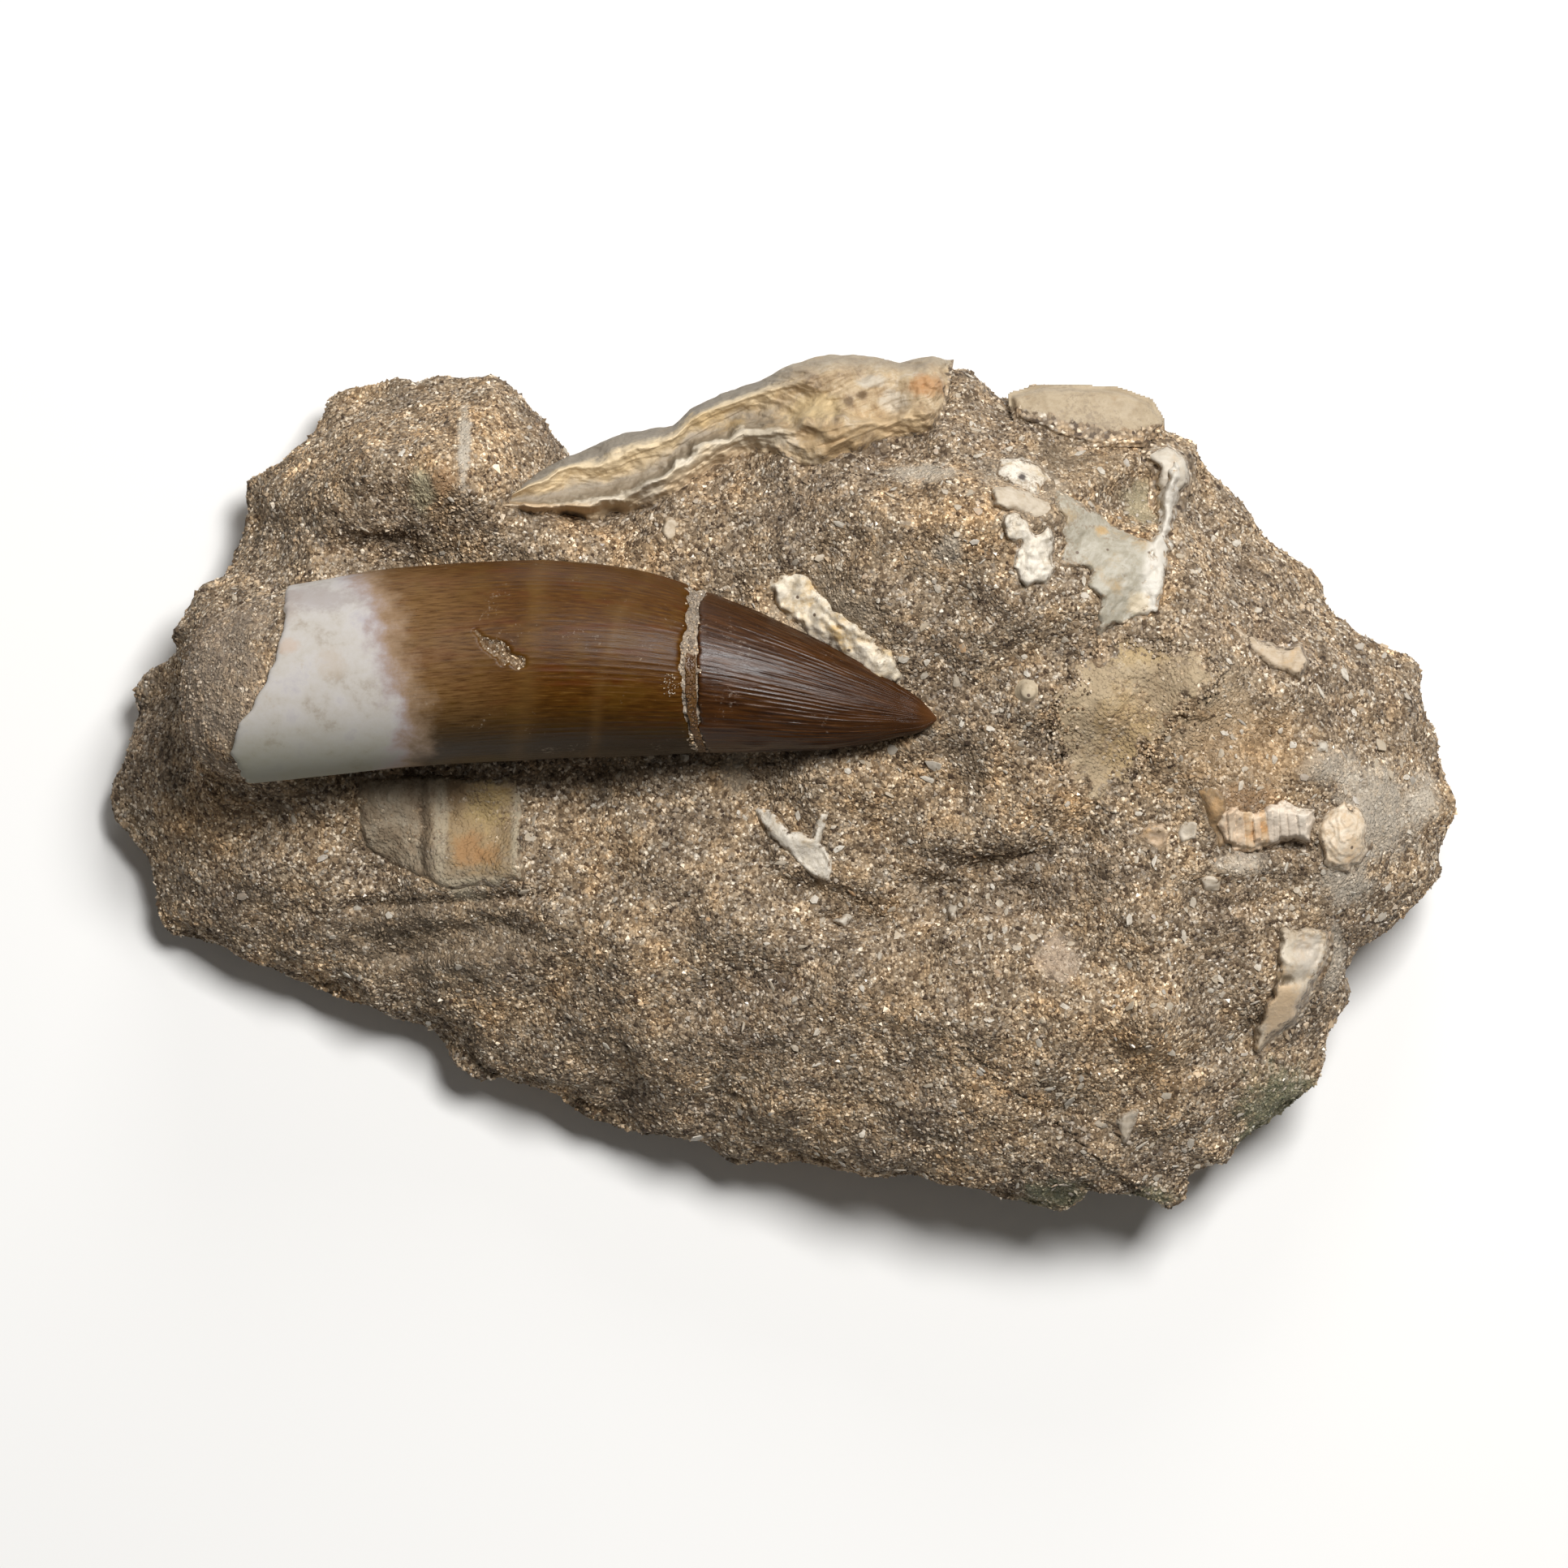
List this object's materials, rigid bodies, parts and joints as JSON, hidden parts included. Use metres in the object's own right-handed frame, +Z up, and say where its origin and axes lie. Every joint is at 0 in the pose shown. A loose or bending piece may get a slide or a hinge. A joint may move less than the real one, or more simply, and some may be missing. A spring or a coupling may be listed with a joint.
{
  "type": "fossil plesiosaur tooth in matrix",
  "caption": "Curved conical fossil marine reptile tooth with a pale root end, lying cracked near its point on a loose block of sandy, shell-bearing matrix.",
  "frame": {"origin": "middle of the block's bounding box, on the flat underside", "axes": "+X along the tooth from its root end to its point, which is the block's long way; +Z up, out of the face that shows the tooth"},
  "size_m": [0.0923, 0.0586, 0.0265],
  "materials": {
    "sandy_matrix": "rough, loosely cemented sand of dark, tan and cream grains",
    "tooth_enamel": "satin brown enamel with fine ridges and pale growth bands, chalky white at the root end",
    "tip_enamel": "glossy dark brown enamel with fine ridges that meet at the point",
    "cream_shell": "layered matt shell, cream to tan",
    "white_shell": "chalky pale shell",
    "orange_shell": "ribbed shell, cream to orange",
    "bone": "matt fibrous bone, tan with yellow and orange stains",
    "pebble": "smooth worn pebble"
  },
  "bodies": {
    "root": {"matrix": "sandy_matrix", "tooth_crown": "tooth_enamel", "tooth_tip": "tip_enamel", "oyster_shell": "cream_shell", "edge_shell": "cream_shell", "shell_blade": "cream_shell", "valve_shell": "white_shell", "curved_shell": "white_shell", "shell_lump": "white_shell", "chalky_shell": "white_shell", "shell_splinter": "white_shell", "ribbed_shell": "orange_shell", "shell_wedge": "orange_shell", "shell_disc": "orange_shell", "bone_plate": "bone", "bone_patch": "bone", "pebble": "pebble"}
  },
  "joints": []
}
